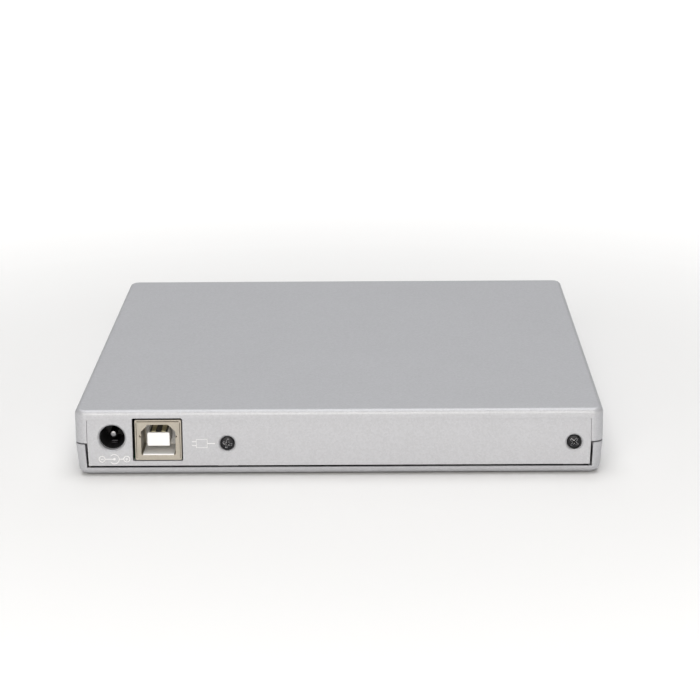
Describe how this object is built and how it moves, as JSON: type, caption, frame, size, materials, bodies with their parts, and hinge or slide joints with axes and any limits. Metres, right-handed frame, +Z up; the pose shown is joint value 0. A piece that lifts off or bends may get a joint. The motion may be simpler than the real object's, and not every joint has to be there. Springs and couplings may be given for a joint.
{
  "type": "external optical disc drive",
  "caption": "Slim external optical disc drive: silver two-part case with a sliding disc tray at the front, and a USB-B socket and a round power inlet at the back.",
  "frame": {"origin": "under the middle of the case, on the surface that the feet stand on", "axes": "+X to the left seen from the connector side, +Y out of the connector side, -Y the way the tray leaves, +Z up"},
  "size_m": [0.1364, 0.147, 0.0179],
  "materials": {
    "case_shell": "silver metallic paint, fine flake, satin",
    "foot": "matt black rubber",
    "black_screw": "black oxide",
    "steel": "bright zinc-plated sheet",
    "nickel": "warm nickel plate",
    "gold": "gold plate",
    "copper": "enamelled copper wire and bronze",
    "black_plastic": "fine matt texture",
    "grey_plastic": "satin",
    "white_plastic": "satin",
    "circuit_board": "green solder resist",
    "ribbon": "amber film",
    "clear_plastic": "clear, polished",
    "lens": "polished, violet coating"
  },
  "bodies": {
    "case": {"top_cover": "case_shell", "rear_panel": "case_shell", "bottom_cover": "case_shell", "foot_front_left": "foot", "foot_front_right": "foot", "foot_rear_left": "foot", "foot_rear_right": "foot", "rear_screw_left": "black_screw", "rear_screw_right": "black_screw", "drive_screw_front_left": "black_screw", "drive_screw_front_right": "black_screw", "drive_screw_rear_left": "black_screw", "drive_screw_rear_right": "black_screw", "bridge_board": "circuit_board", "usb_shell": "nickel", "usb_insulator": "white_plastic", "usb_contact_upper_left": "gold", "usb_contact_upper_right": "gold", "usb_contact_lower_left": "gold", "usb_contact_lower_right": "gold", "dc_jack_body": "black_plastic", "dc_pin": "nickel", "dc_spring": "nickel", "bridge_socket": "black_plastic", "chassis_pan": "steel", "chassis_lid": "steel", "guide_left": "black_plastic", "guide_right": "black_plastic", "drive_connector": "black_plastic", "flex_cable": "ribbon"},
    "tray": {"tray": "black_plastic", "tray_deck": "black_plastic", "tray_bezel": "case_shell", "light_pipe": "clear_plastic", "tray_bottom_cover": "steel", "eject_switch": "grey_plastic", "main_board": "circuit_board", "eject_solenoid": "copper", "ejector_pusher": "grey_plastic", "pickup_window": "grey_plastic", "traverse_frame": "steel", "damper_1": "foot", "damper_2": "foot", "damper_3": "foot", "guide_shaft_inner": "steel", "guide_shaft_outer": "steel", "spindle_stator": "copper", "sled_motor": "steel"},
    "rail_left": {"rail_left": "steel"},
    "rail_right": {"rail_right": "steel"},
    "button": {"eject_button": "case_shell"},
    "latch": {"latch_lever": "steel"},
    "spindle": {"turntable": "steel", "turntable_ring": "foot", "clamp_hub": "black_plastic"},
    "sled": {"pickup_sled": "grey_plastic", "sled_follower": "white_plastic"},
    "lens": {"lens_holder": "black_plastic", "objective_lens": "lens"},
    "lead_screw": {"lead_screw": "steel"}
  },
  "joints": [
    {"name": "tray_slide", "type": "slide", "parent": "case", "child": "tray", "axis": [0, -1, 0], "range_m": [0, 0.118], "deforming": ["flex_cable"]},
    {"name": "rail_left_slide", "type": "slide", "parent": "case", "child": "rail_left", "axis": [0, -1, 0], "range_m": [0, 0.059]},
    {"name": "rail_right_slide", "type": "slide", "parent": "case", "child": "rail_right", "axis": [0, -1, 0], "range_m": [0, 0.059]},
    {"name": "eject_button_press", "type": "slide", "parent": "tray", "child": "button", "axis": [0, 1, 0], "range_m": [0, 0.0005], "stiffness_N_per_m": 400},
    {"name": "latch_turn", "type": "hinge", "parent": "tray", "child": "latch", "pos_m": [0.038, 0.0365, 0.0071], "axis": [0, 0, -1], "range_deg": [0, 16]},
    {"name": "spindle_spin", "type": "hinge", "parent": "tray", "child": "spindle", "pos_m": [0, -0.01, 0.0095], "axis": [0, 0, 1], "continuous": true},
    {"name": "sled_travel", "type": "slide", "parent": "tray", "child": "sled", "axis": [-0.7071, -0.7071, 0], "range_m": [0, 0.036]},
    {"name": "lens_focus", "type": "slide", "parent": "sled", "child": "lens", "axis": [0, 0, 1], "range_m": [-0.0005, 0.0007], "stiffness_N_per_m": 60},
    {"name": "lead_screw_turn", "type": "hinge", "parent": "tray", "child": "lead_screw", "pos_m": [0.01379, -0.02379, 0.0084], "axis": [-0.7071, -0.7071, 0], "continuous": true}
  ],
  "couplings": [
    {"joint": "rail_left_slide", "follows": "tray_slide", "ratio": 0.5},
    {"joint": "rail_right_slide", "follows": "tray_slide", "ratio": 0.5},
    {"joint": "lead_screw_turn", "follows": "sled_travel", "rad_per_m": 2094.4}
  ]
}
